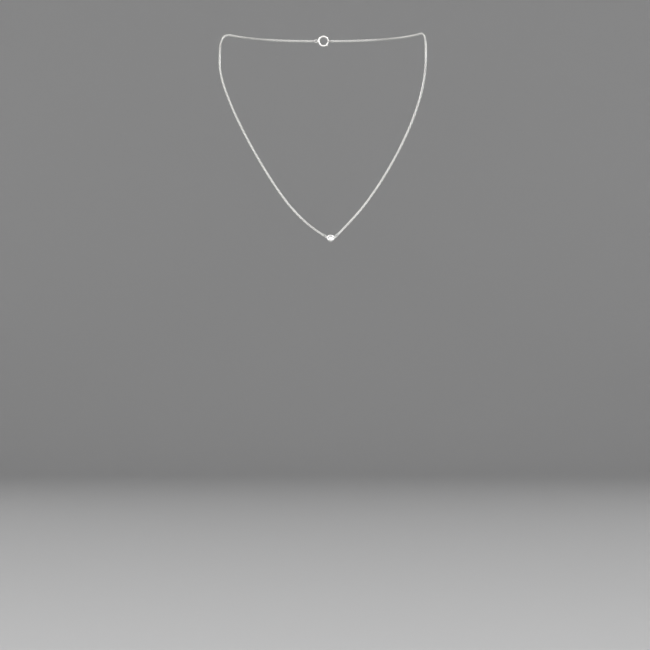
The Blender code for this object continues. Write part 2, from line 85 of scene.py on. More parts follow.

# Rings
JUMP_MAJOR, JUMP_MINOR = 0.8, 0.16
JUMP_TWIST = 38.0
JUMP_SEAM = 1.6  # angle that the cut in a jump ring takes
EYELET_MAJOR, EYELET_MINOR = 0.75, 0.2
EYELET_SOLDER = (0.1, 0.26, 0.3)
END_RING_MAJOR, CATCH_RING_MAJOR = 0.95, 1.2
CLASP_RING_MINOR = 0.2

# Silver: its tone, the darker tone painted as shade into its hollows, the roughness where it shines and
# its grain's size
SILVERS = {
    "chain_silver": ((0.92, 0.92, 0.885), (0.42, 0.4, 0.37), 0.1, 1.0),
    "cup_silver": ((0.95, 0.94, 0.92), (0.4, 0.39, 0.37), 0.06, 1.4),
    "clasp_silver": ((0.92, 0.91, 0.88), (0.36, 0.34, 0.31), 0.12, 1.6),
}

# Stone
STONE_RADIUS = 1.5
STONE_TABLE = 0.57
STONE_GIRDLE = 0.06
CROWN_ANGLE = 34.5
PAVILION_ANGLE = 40.75
STAR_LENGTH = 0.5
LOWER_HALF_LENGTH = 0.77

# Cup
CUP_RADIUS = 2.0
CUP_COLLAR_DEPTH = 1.0
CUP_DEPTH = 2.85
CUP_BACK_RADIUS = 0.85
CUP_BACK_HOLE = 0.42
CUP_WAIST_RADIUS = 1.22
CUP_WAIST_DEPTH = 1.15
CUP_ROUNDING = 0.09
LIP_HOLD = 0.13
LIP_DEPTH = 0.12
LIP_OUTSIDE = ((0.0, 0.18), (0.13, 0.03), (0.32, -0.02))  # in from the rim, back from LIP_DEPTH
LIP_INSIDE = ((0.12, 0.02), (0.0, 0.12))  # out from the opening, back from LIP_DEPTH
STONE_GAP = 0.03
LOOP_MAJOR, LOOP_MINOR = 0.5, 0.15
LOOP_DEPTH = 0.55
LOOP_RISE = 0.76
LOOP_SINK = 0.07
LOOP_SOLDER = (0.13, 0.21, 0.3)  # radii of the bead: outward, in depth and along the wall

# Clasp, as angles round it from the middle of its mouth
CLASP_MAJOR, CLASP_TUBE = 2.45, 0.55
CLASP_EDGE = 0.06
CLASP_BORE = 0.38
BORE_SPARE = 3  # how far past the tube's ends its bores are cut
CLASP_MOUTH = 32.0
CLASP_STOP = 172.0
BOLT_RADIUS = 0.3
BOLT_EDGE = 0.12
BOLT_TIP, BOLT_TAIL = 38.0, -70.0
BOLT_TRAVEL = 66.0
NIB_ANGLE = -50.0
NIB_HALF_WIDTH = 4.5
NIB_RADIUS = 0.25
NIB_TOP = 3.42
NIB_HEAD_RADIUS = 0.42
NIB_HEAD_THICKNESS = 0.28
SLOT_HALF_WIDTH = 0.31
SLOT_SPARE = 1.5  # how much further than the nib the slot goes at both its ends
SPRING_RADIUS, SPRING_WIRE = 0.26, 0.055
SPRING_TURNS = 11
SPRING_SPARE = 3.0  # between the spring's ends and what it rests on
SPRING_STEPS = 24  # in each of its turns

# Camera and studio, in metres
VIEW_WIDTH = 0.325
VIEW_MIDDLE = (0.00075, -0.0612, -0.1473)
CAMERA_DISTANCE = 1.6
FLOOR = -0.305
WALL_RADIUS, WALL_HEIGHT = 2.3, 2.4
WALL_BEND = 0.6  # radius of the curve from floor to wall
FLOOR_TONE = (0.52, 0.52, 0.52)
ROOM_TONE = (0.15, 0.15, 0.155, 1.0)
LIT_POINT = (0.0, -0.05, -0.06)
SOFTBOXES = (  # name, place, width, height and radiance
    ("overhead", (0.0, -0.3, 1.2), 0.9, 0.65, 2.4),
    ("front", (0.0, -2.1, 0.45), 1.8, 0.95, 2.6),
    ("front_left", (-1.0, -0.85, 0.65), 1.2, 1.25, 2.2),
    ("front_right", (1.0, -0.85, 0.65), 1.2, 1.25, 2.2),
    ("back_left", (-0.95, 1.0, 0.55), 0.9, 0.8, 1.5),
    ("back_right", (0.95, 1.0, 0.55), 0.9, 0.8, 1.5),
)

joints = {joint["name"]: joint for joint in frame["joints"]}
chance = random.Random(7)


# Vectors and curves


def unit(vector):
    return np.asarray(vector, float) / np.linalg.norm(vector)


def turned(vector, axis, degrees):
    """A vector turned by the right-hand rule about an axis through the origin."""
    return np.array(Matrix.Rotation(math.radians(degrees), 3, Vector(axis))) @ vector


def smooth_curve(points, first_way, last_way, samples=3000):
    """A cubic spline through the points, sampled finely, that starts and ends these ways."""
    points = np.array(points, float)
    chords = np.linalg.norm(np.diff(points, axis=0), axis=1)
    slopes = np.diff(points, axis=0) / chords[:, None]
    slopes = np.vstack([first_way, slopes, last_way])
    spans = np.concatenate([[0], chords, [0]])
    count = len(points)
    system = np.zeros((count, count))
    for i in range(count):
        system[i, i] = 2 * (spans[i] + spans[i + 1])
        if i:
            system[i, i - 1] = spans[i]
        if i < count - 1:
            system[i, i + 1] = spans[i + 1]
    bends = np.linalg.solve(system, 6 * np.diff(slopes, axis=0))
    knots = np.concatenate([[0], np.cumsum(chords)])
    along = np.linspace(0, knots[-1], samples)
    span = np.clip(np.searchsorted(knots, along, side="right") - 1, 0, count - 2)
    width = chords[span][:, None]
    after = (along[:, None] - knots[span][:, None]) / width
    before = 1 - after
    straight = before * points[span] + after * points[span + 1]
    bulge = (before**3 - before) * bends[span] + (after**3 - after) * bends[span + 1]
    return straight + bulge * width**2 / 6


def strand_route(drape, start, pull, end):
    """One half of the chain's middle line, from the pendant's jump ring to the clasp's ring."""
    hanging = [(PENDANT_X + x, start[1], z - NAPE_ABOVE_PENDANT) for x, z in drape]
    front = smooth_curve([start, *hanging], unit(pull * (X + Z)), Z)
    widest = front[-1]
    rise = -widest[2]
    climb = rise**2 / SHOULDER_BEND
    angle = np.linspace(0, 1, 3000)[1:] ** 2 * math.pi / 2
    x = end[0] + (widest[0] - end[0]) * np.cos(angle)
    y = widest[1] * (1 - np.sin(angle))
    gone = np.minimum(1.0, (y - widest[1]) / climb)
    z = widest[2] + rise * np.sqrt(1 - (1 - gone) ** 2)
    return np.vstack([front, np.column_stack([x, y, z])])


def link_contacts(route):
    """The points at which the links of a strand touch, evenly spaced along it."""
    travelled = np.concatenate([[0], np.cumsum(np.linalg.norm(np.diff(route, axis=0), axis=1))])
    stops = np.linspace(0, travelled[-1], round(travelled[-1] / LINK_PITCH) + 1)
    return np.column_stack([np.interp(stops, travelled, route[:, k]) for k in range(3)])


def node_middle(node):
    low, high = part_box(node)
    return np.array((low + high) / 2) / MM


# Meshes, as (points, faces)


def grid_faces(rows, columns, closed_rows):
    """Faces between rows of points whose columns go all the way round."""
    faces = []
    for i in range(rows if closed_rows else rows - 1):
        low, high = i * columns, (i + 1) % rows * columns
        for k in range(columns):
            following = (k + 1) % columns
            faces.append([low + k, low + following, high + following, high + k])
    return faces


def bar(centres, firsts, seconds, radii, sides, closed=False):
    """A round bar: at each centre a circle in the plane of its two unit vectors."""
    turns = np.arange(sides) * 2 * math.pi / sides
    arms = np.cos(turns)[:, None] * firsts[:, None] + np.sin(turns)[:, None] * seconds[:, None]
    radii = np.broadcast_to(radii, len(centres))[:, None, None]
    points = (centres[:, None] + radii * arms).reshape(-1, 3)
    faces = grid_faces(len(centres), sides, closed)
    if not closed:
        faces += [list(range(sides))[::-1], list(range(len(points) - sides, len(points)))]
    return points, faces


def joined(shapes):
    """Several meshes as one."""
    points, faces, start = [], [], 0
    for shape_points, shape_faces in shapes:
        points.append(shape_points)
        faces += [[start + i for i in face] for face in shape_faces]
        start += len(shape_points)
    return np.concatenate(points), faces


def ring(centre, normal, major, minor, segments=72, sides=18, start=None, seam=0.0):
    """A wire ring. With a seam it is cut across at its start."""
    spoke = unit(np.cross(normal, Z if abs(normal[2]) < 0.9 else X)) if start is None else start
    other = np.cross(normal, spoke)
    turns = np.radians(np.linspace(seam / 2, 360 - seam / 2, segments + 1))
    if not seam:
        turns = turns[:-1]
    outward = np.outer(np.cos(turns), spoke) + np.outer(np.sin(turns), other)
    normals = np.broadcast_to(normal, outward.shape)
    return bar(centre + major * outward, outward, normals, minor, sides, closed=not seam)


def rounded(outline, reach, steps=5):
    """A closed outline whose corners are rounded, each from this far before it to after it."""
    outline = np.array(outline, float)
    points = []
    for i, corner in enumerate(outline):
        before, after = outline[i - 1] - corner, outline[(i + 1) % len(outline)] - corner
        near = min(reach, 0.45 * np.linalg.norm(before), 0.45 * np.linalg.norm(after))
        first, last = corner + near * unit(before), corner + near * unit(after)
        for t in np.linspace(0, 1, steps):
            points.append((1 - t) ** 2 * first + 2 * t * (1 - t) * corner + t**2 * last)
    return np.array(points)


def lathe(profile, segments):
    """A closed (radius, depth) outline turned about the depth axis, which points to +Y."""
    turns = np.arange(segments) * 2 * math.pi / segments
    rows = []
    for turn in turns:
        radius = profile[:, 0]
        rows.append(np.column_stack([radius * math.cos(turn), profile[:, 1], radius * math.sin(turn)]))
    return np.concatenate(rows), grid_faces(segments, len(profile), True)


def bead(centre, radii, ways):
    """An ellipsoid of solder with these radii along three directions."""
    maker = bmesh.new()
    bmesh.ops.create_icosphere(maker, subdivisions=4, radius=1.0)
    local = np.array([v.co for v in maker.verts]) * radii
    faces = [[v.index for v in face.verts] for face in maker.faces]
    maker.free()
    return centre + local @ np.array(ways), faces


# Objects


def mesh_of(name, shape):
    """A mesh in metres from points in millimetres, with its faces turned outward."""
    points, faces = shape
    mesh = bpy.data.meshes.new(name)
    mesh.from_pydata([tuple(p) for p in points * MM], [], faces)
    maker = bmesh.new()
    maker.from_mesh(mesh)
    bmesh.ops.recalc_face_normals(maker, faces=maker.faces)
    maker.to_mesh(mesh)
    maker.free()
    return mesh


def add_object(name, mesh, material):
    mesh.materials.append(material)
    made = bpy.data.objects.new(name, mesh)
    bpy.context.scene.collection.objects.link(made)
    return made


def join_and_cut(made, joins, cuts):
    """Unites a piece with some closed shapes and then cuts others out of it."""
    helpers = []
    for operation, shapes in (("UNION", joins), ("DIFFERENCE", cuts)):
        for shape in shapes:
            helper_name = f"{made.name}_helper_{len(helpers)}"
            helper = add_object(helper_name, mesh_of(helper_name, shape), made.data.materials[0])
            modifier = made.modifiers.new(helper_name, "BOOLEAN")
            modifier.operation = operation
            modifier.object = helper
            helpers.append(helper)
    graph = bpy.context.evaluated_depsgraph_get()
    done = bpy.data.meshes.new_from_object(made.evaluated_get(graph))
    made.modifiers.clear()
    made.data = done
    for helper in helpers:
        bpy.data.objects.remove(helper)
    # Booleans leave a few edges of no length
    maker = bmesh.new()
    maker.from_mesh(done)
    bmesh.ops.dissolve_degenerate(maker, dist=3e-7, edges=maker.edges)
    maker.to_mesh(done)
    maker.free()


def piece(name, shape, material, body, nodes, smooth_below=35.0, cuts=(), joins=()):
    """A shaded piece on a body, in place of CAD nodes."""
    made = add_object(name, mesh_of(name, shape), material)
    if cuts or joins:
        join_and_cut(made, joins, cuts)
    if smooth_below:
        made.data.shade_smooth()
        made.data.set_sharp_from_angle(angle=math.radians(smooth_below))
    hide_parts(*nodes)
    if body:
        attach(made, body)
    return made


# Materials


class Nodes:
    """Short names for the nodes that the materials share."""

    def __init__(self, name):
        self.material = bpy.data.materials.new(name)
        self.material.use_nodes = True
        self.tree = self.material.node_tree
        self.shader = self.tree.nodes["Principled BSDF"]
        self.place = self.tree.nodes.new("ShaderNodeTexCoord").outputs["Object"]

    def set(self, **values):
        for name, value in values.items():
            self.shader.inputs[name.replace("_", " ")].default_value = value

    def link(self, output, socket):
        self.tree.links.new(output, self.shader.inputs[socket])

    def stretched(self, x, y, z):
        node = self.tree.nodes.new("ShaderNodeMapping")
        node.inputs["Scale"].default_value = (x, y, z)
        self.tree.links.new(self.place, node.inputs["Vector"])
        return node.outputs["Vector"]

    def noise(self, size, detail=3.0, place=None, distortion=0.0):
        """Noise whose largest features are about this many millimetres across."""
        node = self.tree.nodes.new("ShaderNodeTexNoise")
        node.inputs["Scale"].default_value = 1 / (size * MM)
        node.inputs["Detail"].default_value = detail
        node.inputs["Distortion"].default_value = distortion
        self.tree.links.new(place or self.place, node.inputs["Vector"])
        return node.outputs["Fac"]

    def attribute(self, name):
        node = self.tree.nodes.new("ShaderNodeAttribute")
        node.attribute_name = name
        return node.outputs["Fac"]

    def map(self, value, low, high, to_low, to_high):
        node = self.tree.nodes.new("ShaderNodeMapRange")
        limits = {"From Min": low, "From Max": high, "To Min": to_low, "To Max": to_high}
        for socket, number in limits.items():
            node.inputs[socket].default_value = number
        self.tree.links.new(value, node.inputs["Value"])
        return node.outputs["Result"]

    def math(self, operation, first, second):
        node = self.tree.nodes.new("ShaderNodeMath")
        node.operation = operation
        for socket, value in zip(node.inputs, (first, second)):
            if isinstance(value, (int, float)):
                socket.default_value = value
            else:
                self.tree.links.new(value, socket)
        return node.outputs["Value"]

    def blend(self, share, first, second):
        node = self.tree.nodes.new("ShaderNodeMix")
        node.data_type = "RGBA"
        self.tree.links.new(share, node.inputs[0])
        for socket, value in ((node.inputs[6], first), (node.inputs[7], second)):
            if isinstance(value, tuple):
                socket.default_value = (*value, 1.0)
            else:
                self.tree.links.new(value, socket)
        return node.outputs[2]

    def bump(self, height, depth):
        """Relief of this many micrometres."""
        node = self.tree.nodes.new("ShaderNodeBump")
        node.inputs["Distance"].default_value = depth * 1e-6
        self.tree.links.new(height, node.inputs["Height"])
        self.link(node.outputs["Normal"], "Normal")


def silver(name, tone, shade_tone, shine, grain):
    """Polished sterling silver, with painted shade: greyer and duller in its hollows.

    Each piece carries a point attribute of painted shade and dullness, from 0 on its outer side to 1 in
    its hollows."""
    nodes = Nodes(name)
    nodes.set(Metallic=1.0)
    patches = nodes.noise(0.9, detail=4.0)
    hairlines = nodes.noise(0.05 * grain, detail=2.0, place=nodes.stretched(1.0, 0.35, 0.12))
    pits = nodes.noise(0.03 * grain, detail=1.0)
    shade_and_dullness = nodes.attribute("shade_and_dullness")
    # painted shade: darker and duller where the point attribute marks a hollow
    shade_and_dullness_mask = nodes.math("MULTIPLY", shade_and_dullness, nodes.map(patches, 0.3, 0.7, 0.55, 1.0))
    worn = nodes.blend(nodes.map(patches, 0.35, 0.65, 0.0, 1.0), tone, tuple(0.965 * c for c in tone))
    # the base colour darkens towards the painted shade tone in the hollows
    nodes.link(nodes.blend(shade_and_dullness_mask, worn, shade_tone), "Base Color")
    smooth = nodes.map(hairlines, 0.35, 0.7, shine, shine + 0.1)
    nodes.link(nodes.math("ADD", smooth, nodes.math("MULTIPLY", shade_and_dullness_mask, 0.16)), "Roughness")
    nodes.bump(nodes.math("ADD", hairlines, nodes.math("MULTIPLY", pits, 0.5)), 0.35 * grain)
    return nodes.material


def spring_steel():
    """Drawn steel wire: grey, with fine lines."""
    nodes = Nodes("spring_steel")
    nodes.set(Metallic=1.0)
    lines = nodes.noise(0.02, detail=3.0, place=nodes.stretched(1.0, 0.2, 1.0))
    nodes.link(nodes.blend(lines, (0.48, 0.48, 0.5), (0.66, 0.66, 0.66)), "Base Color")
    nodes.link(nodes.map(lines, 0.3, 0.7, 0.2, 0.34), "Roughness")
    nodes.bump(lines, 0.4)
    return nodes.material


def clear_stone():
    """A clean colourless stone, with the faintest clouding inside it."""
    nodes = Nodes("clear_stone")
    nodes.set(Transmission_Weight=1.0, IOR=2.417)
    clouds = nodes.map(nodes.noise(0.5, detail=5.0, distortion=0.6), 0.4, 0.75, 0.0, 1.0)
    nodes.link(nodes.blend(clouds, (1.0, 1.0, 1.0), (0.93, 0.96, 1.0)), "Base Color")
    nodes.link(nodes.map(nodes.noise(0.2), 0.45, 0.8, 0.0, 0.012), "Roughness")
    return nodes.material


def matt(name, colour):
    nodes = Nodes(name)
    speckle = nodes.noise(1.5, detail=4.0)
    nodes.link(nodes.blend(speckle, colour, tuple(0.97 * c for c in colour)), "Base Color")
    nodes.set(Roughness=0.9)
    return nodes.material


def set_shade_and_dullness(made, values):
    """Stores how deep in a hollow each point is, which the silver paints as shade."""
    attribute = made.data.attributes.new("shade_and_dullness", "FLOAT", "POINT")
    attribute.data.foreach_set("value", np.clip(values, 0, 1).astype(np.float32))


def points_of(made):
    """The points of a piece in millimetres."""
    flat = np.empty(3 * len(made.data.vertices), np.float32)
    made.data.vertices.foreach_get("co", flat)
    return flat.reshape(-1, 3) / MM


# The chain


def link_line(half_pitch):
    """A link's middle line as (along, across), the outward way at each point, and the wire's radius."""
    bend = (LINK_WIDTH - LINK_WIRE) / 2
    straight = half_pitch + LINK_WIRE / 2 - bend
    points, outward, radii = [], [], []
    for side in (1, -1):
        for angle in np.radians(np.linspace(-90, 90, 10)):
            way = side * np.array([math.cos(angle), math.sin(angle)])
            points.append(side * np.array([straight, 0]) + bend * way)
            outward.append(way)
            radii.append(LINK_WIRE / 2)
        for share in (0.15, 0.0, -0.15):
            points.append(side * np.array([share * 2 * straight, bend]))
            outward.append(np.array([0.0, side]))
            # the link is closed with a little solder in the middle of one side
            radii.append(LINK_WIRE / 2 * (LINK_SOLDER if side == 1 and share == 0 else 1.0))
    return np.array(points), np.array(outward), np.array(radii)


def link(start, end, across):
    """One oval link between two contacts, and the painted shade of its points, deepest in its hollows.
    """
    along = unit(end - start)
    across = unit(across - along * (across @ along))
    normal = np.cross(along, across)
    line, outward, radii = link_line(np.linalg.norm(end - start) / 2)
    plane = np.array([along, across])
    firsts = outward @ plane
    seconds = np.broadcast_to(normal, firsts.shape)
    middle = (start + end) / 2
    shape = bar(middle + line @ plane, firsts, seconds, radii, LINK_SIDES, closed=True)
    # painted shade on the inner side, deepest at the ends where the next links pass through
    inward = np.clip(-np.cos(np.arange(LINK_SIDES) * 2 * math.pi / LINK_SIDES), 0, 1)
    at_end = np.abs(line[:, 0]) / np.abs(line[:, 0]).max()
    return shape, np.outer(SIDE_SHADE_AND_DULLNESS + (1 - SIDE_SHADE_AND_DULLNESS) * at_end, inward).ravel()


def link_ways(contacts, first_across, last_across):
    """The way across each link. They turn by 90 degrees from one to the next, and a little
    more or less, so that both the first and the last fit the rings that they hang in."""
    alongs = [unit(way) for way in np.diff(contacts, axis=0)]
    carried = [unit(first_across)]
    for along in alongs:
        carried.append(unit(carried[-1] - along * (carried[-1] @ along)))
    carried = carried[1:]
    count = len(alongs)
    other = np.cross(alongs[-1], carried[-1])
    wanted = math.degrees(math.atan2(last_across @ other, last_across @ carried[-1]))
    extra = (wanted - 90 * (count - 1) + 90) % 180 - 90
    ways = []
    for i, (along, across) in enumerate(zip(alongs, carried)):
        play = chance.uniform(-LINK_PLAY, LINK_PLAY) if 0 < i < count - 1 else 0.0
        ways.append(turned(across, along, 90 * i + extra * i / (count - 1) + play))
    return ways


def jump_ring_lie(name, side):
    """A jump ring's middle, its normal and the way that the chain leaves it."""
    middle = node_middle(f"pendant_ring_{name}")
    pull = math.radians(PULLS[name])
    hinge_depth = joints["pendant_swing"]["pos_m"][1] / MM
    lean = (hinge_depth - middle[1]) / (JUMP_MAJOR - JUMP_MINOR)
    chain = unit(side * math.cos(pull) * X + math.sin(pull) * Z + lean * Y)
    flat = turned(np.cross(np.cross(chain, -Y), chain), chain, -side * JUMP_TWIST)
    return middle, unit(np.cross(chain, flat)), chain


def nearest_contact(contacts, joint):
    """The contact that lies on a joint's axis."""
    away = contacts - np.array(joint["pos_m"]) / MM
    return int(np.linalg.norm(np.cross(away, joint["axis"]), axis=1).argmin())


def add_run(run, body, links, material):
    """The links, each a (start, end, across), of one of the model's runs of chain."""
    shapes, link_shading = zip(*(link(*places) for places in links))
    made = piece(f"links_{run}", joined(shapes), material, body, [f"chain_{run}"])
    # the links' painted shade
    set_shade_and_dullness(made, np.concatenate(link_shading))


def add_strand(name, side, drape, ring_end, material):
    """All the links of one half of the chain, in the model's runs."""
    middle, normal, chain = jump_ring_lie(name, side)
    start = middle + (JUMP_MAJOR - JUMP_MINOR) * chain
    contacts = link_contacts(strand_route(drape, start, chain, ring_end))
    links = list(zip(contacts, contacts[1:], link_ways(contacts, normal, Z)))
    folds = [joint for joint in frame["joints"] if joint["name"].startswith("chain_fold_")]
    stops = [nearest_contact(contacts, joint) for joint in folds] + [0]
    for k, joint in enumerate(folds):
        add_run(f"front_{name}_{k + 1}", joint["child"], links[stops[k + 1] : stops[k]], material)
    stops = np.linspace(len(links), stops[0], NECK_RUNS + 1).round().astype(int)
    for k in range(NECK_RUNS):
        add_run(f"neck_{name}_{k + 1}", "neck_chain", links[stops[k + 1] : stops[k]], material)


def ring_shade_and_dullness(made, centre, normal, major, minor):
    """The inner side of a ring is its hollow, painted with shade."""
    arms = points_of(made) - centre
    arms -= np.outer(arms @ normal, normal)
    set_shade_and_dullness(made, (major - np.linalg.norm(arms, axis=1)) / minor)


def add_jump_rings(material):
    for name, side in (("left", -1), ("right", 1)):
        middle, normal, chain = jump_ring_lie(name, side)
        cut = np.cross(normal, chain)
        shape = ring(middle, normal, JUMP_MAJOR, JUMP_MINOR, start=cut, seam=JUMP_SEAM)
        node = f"pendant_ring_{name}"
        made = piece(f"jump_ring_{name}", shape, material, "pendant_rings", [node])
        ring_shade_and_dullness(made, middle, normal, JUMP_MAJOR, JUMP_MINOR)


# The pendant, first upright: the stone faces -Y and its table is at depth zero


def stone_heights():
    """Depths of the girdle's two edges and the culet, and (radius, depth) of the star points."""
    table = STONE_TABLE * STONE_RADIUS
    crown = (STONE_RADIUS - table) * math.tan(math.radians(CROWN_ANGLE))
    below = crown + STONE_GIRDLE
    culet = below + STONE_RADIUS * math.tan(math.radians(PAVILION_ANGLE))
    star = (table + STAR_LENGTH * (STONE_RADIUS - table)) / math.cos(math.radians(22.5))
    return crown, below, culet, (star, crown * STAR_LENGTH)


def facet_planes():
    """Three points of each facet of a round brilliant, but for the table."""
    crown, below, culet, (star_radius, star_depth) = stone_heights()
    reach = STONE_RADIUS * (1 - LOWER_HALF_LENGTH)
    lower_depth = culet - (culet - below) * reach / STONE_RADIUS

    def at(radius, depth, degrees):
        angle = math.radians(degrees)
        return np.array([radius * math.cos(angle), depth, radius * math.sin(angle)])

    planes = []
    for k in range(8):
        angle = 45 * k
        table = at(STONE_TABLE * STONE_RADIUS, 0, angle)
        star = at(star_radius, star_depth, angle + 22.5)
        half = at(reach / math.cos(math.radians(22.5)), lower_depth, angle + 22.5)
        planes.append((table, at(star_radius, star_depth, angle - 22.5), star))
        planes.append((table, at(STONE_TABLE * STONE_RADIUS, 0, angle + 45), star))
        planes.append((at(0, culet, 0), half, at(STONE_RADIUS, below, angle)))
        for turn in (0, 22.5):
            near, far = angle + turn, angle + turn + 22.5
            planes.append((star, at(STONE_RADIUS, crown, near), at(STONE_RADIUS, crown, far)))
            planes.append((half, at(STONE_RADIUS, below, near), at(STONE_RADIUS, below, far)))
    return planes


def brilliant():
    """The stone, ground facet by facet from a disc, so that its girdle is round and scalloped."""
    culet = stone_heights()[2]
    middle = Vector((0, culet / 3, 0))
    maker = bmesh.new()
    upright = Matrix.Translation((0, culet / 2, 0)) @ Matrix.Rotation(math.radians(90), 4, "X")
    sizes = {"radius1": STONE_RADIUS, "radius2": STONE_RADIUS, "depth": culet}
    bmesh.ops.create_cone(maker, cap_ends=True, segments=128, matrix=upright, **sizes)
    for corners in facet_planes():
        a, b, c = (Vector(corner) for corner in corners)
        normal = (b - a).cross(c - a).normalized()
        if normal.dot(a - middle) < 0:
            normal.negate()
        whole = maker.verts[:] + maker.edges[:] + maker.faces[:]
        cut = bmesh.ops.bisect_plane(
            maker, geom=whole, dist=1e-6, plane_co=a, plane_no=normal, clear_outer=True
        )
        rim = [e for e in cut["geom_cut"] if isinstance(e, bmesh.types.BMEdge) and e.is_boundary]
        if rim:
            bmesh.ops.contextual_create(maker, geom=rim)
    bmesh.ops.dissolve_degenerate(maker, dist=1e-5, edges=maker.edges)
    maker.verts.index_update()
    points = np.array([v.co for v in maker.verts])
    faces = [[v.index for v in face.verts] for face in maker.faces]
    maker.free()
    return points, faces


def cup_outline():
    """The cup's section: a lip over the girdle, a straight collar, and a taper to a flat back."""
    crown, below, _, (star_radius, star_depth) = stone_heights()
    steep = (crown - star_depth) / (STONE_RADIUS - star_radius)
    wall = STONE_RADIUS + STONE_GAP
    grip = STONE_RADIUS - LIP_HOLD
    seat_slope = math.tan(math.radians(PAVILION_ANGLE + 1))
    seat_end = below + STONE_GAP + (STONE_RADIUS - CUP_WAIST_RADIUS) * seat_slope
    lip = [(CUP_RADIUS - inward, LIP_DEPTH + back) for inward, back in LIP_OUTSIDE]
    lip += [(grip + outward, LIP_DEPTH + back) for outward, back in LIP_INSIDE]
    return [
        (grip, crown - LIP_HOLD * steep - 1.5 * STONE_GAP),
        (wall, crown - STONE_GAP),
        (wall, below + STONE_GAP),
        (CUP_WAIST_RADIUS, seat_end),
        (CUP_WAIST_RADIUS, CUP_WAIST_DEPTH),
        (CUP_BACK_HOLE, CUP_DEPTH - CUP_BACK_HOLE),
        (CUP_BACK_HOLE, CUP_DEPTH),
        (CUP_BACK_RADIUS, CUP_DEPTH),
        (CUP_RADIUS, CUP_COLLAR_DEPTH),
        *lip,
    ]


def loop_middle(side):
    """The middle of one of the cup's two loops, on the upright pendant."""
    out = CUP_RADIUS + LOOP_MAJOR - LOOP_SINK
    return np.array([side * math.sqrt(out**2 - LOOP_RISE**2), LOOP_DEPTH, LOOP_RISE])


def hang(shape):
    """A shape of the upright pendant where it is once it hangs.

    The pendant's hinge passes through both loops, at the point where they rest on their rings."""
    back = [m for m in frame["record"]["mounts"] if m["name"] == "pendant_back"][0]
    tilt = math.atan2(-back["axis"][2], back["axis"][1])
    hinge = np.array(joints["pendant_swing"]["pos_m"]) / MM
    pull = math.radians(sum(PULLS.values()) / 2)
    inside = LOOP_MAJOR - LOOP_MINOR - STONE_GAP / 2
    on_cup = np.array([0.0, LOOP_DEPTH, LOOP_RISE + inside * math.sin(pull)])
    rotation = np.array(Matrix.Rotation(-tilt, 3, "X"))
    points, faces = shape
    return (points - on_cup) @ rotation.T + hinge, faces


def add_pendant(metal, crystal):
    cup = lathe(rounded(cup_outline(), CUP_ROUNDING), 144)
    extras = []
    for side in (-1, 1):
        middle = loop_middle(side)
        root = unit(middle * (X + Z))
        extras.append(ring(middle, -Y, LOOP_MAJOR, LOOP_MINOR, segments=56, sides=16))
        ways = (root, Y, np.cross(root, Y))
        extras.append(bead(CUP_RADIUS * root + LOOP_DEPTH * Y, LOOP_SOLDER, ways))
    extras = [hang(extra) for extra in extras]
    made = piece("bezel", hang(cup), metal, "pendant", ["bezel_cup"], joins=extras)
    # the inside of the cup is its hollow, painted with shade behind the stone
    upright = points_of(made)
    axis_point, axis_way = (hang((np.array([v]), []))[0][0] for v in (np.zeros(3), Y))
    axis_way = axis_way - axis_point
    depth = (upright - axis_point) @ axis_way
    radius = np.linalg.norm(upright - axis_point - np.outer(depth, axis_way), axis=1)
    inside = (depth > LIP_DEPTH + 0.06) & (radius < STONE_RADIUS + STONE_GAP + 0.01)
    set_shade_and_dullness(made, np.where(inside, 0.8, 0.0))
    stone = hang(brilliant())
    piece("brilliant", stone, crystal, "pendant", ["round_stone"], smooth_below=0)


# The clasp


def round_clasp(degrees, radius=CLASP_MAJOR):
    angles = np.radians(np.atleast_1d(degrees))
    return radius * (np.outer(np.cos(angles), X) + np.outer(np.sin(angles), Z))


def curved_bar(angles, radii, sides):
    """A round bar along the clasp's middle circle."""
    outward = round_clasp(angles, 1.0)
    depth = np.broadcast_to(Y, outward.shape)
    return bar(CLASP_MAJOR * outward, outward, depth, radii, sides)


def rounded_ends(first, last, radius, edge, step=4.0):
    """Angles and radii of a bar whose two end edges are rounded off."""
    way = math.copysign(1.0, last - first)
    per_mm = math.degrees(1 / CLASP_MAJOR)
    curve = np.radians([0.0, 30.0, 60.0, 90.0])
    inset = edge * (1 - np.sin(curve)) * per_mm
    drop = edge * (1 - np.cos(curve))
    count = max(2, round(abs(last - first) / step))
    begin, end = first + way * edge * per_mm, last - way * edge * per_mm
    middle = np.linspace(begin, end, count + 1)[1:-1]
    angles = np.concatenate([first + way * inset[::-1], middle, last - way * inset])
    radii = np.concatenate([radius - drop[::-1], np.full(len(middle), radius), radius - drop])
    order = np.argsort(way * angles, kind="stable")
    return angles[order], radii[order]


def slot_cutter():
    """What the nib's slot removes from the tube: a curved bar through its outer wall."""
    reach = NIB_HALF_WIDTH + SLOT_SPARE
    angles = np.linspace(NIB_ANGLE + reach, NIB_ANGLE - BOLT_TRAVEL - reach, 30)
    near, far = CLASP_MAJOR + 0.05, CLASP_MAJOR + CLASP_TUBE + 0.3
    points = []
    for angle in angles:
        for radius, way in ((near, -1), (far, -1), (far, 1), (near, 1)):
            points.append(round_clasp(angle, radius)[0] + way * SLOT_HALF_WIDTH * Y)
    faces = grid_faces(len(angles), 4, False)
    last = 4 * len(angles)
    return np.array(points), faces + [[3, 2, 1, 0], [last - 4, last - 3, last - 2, last - 1]]


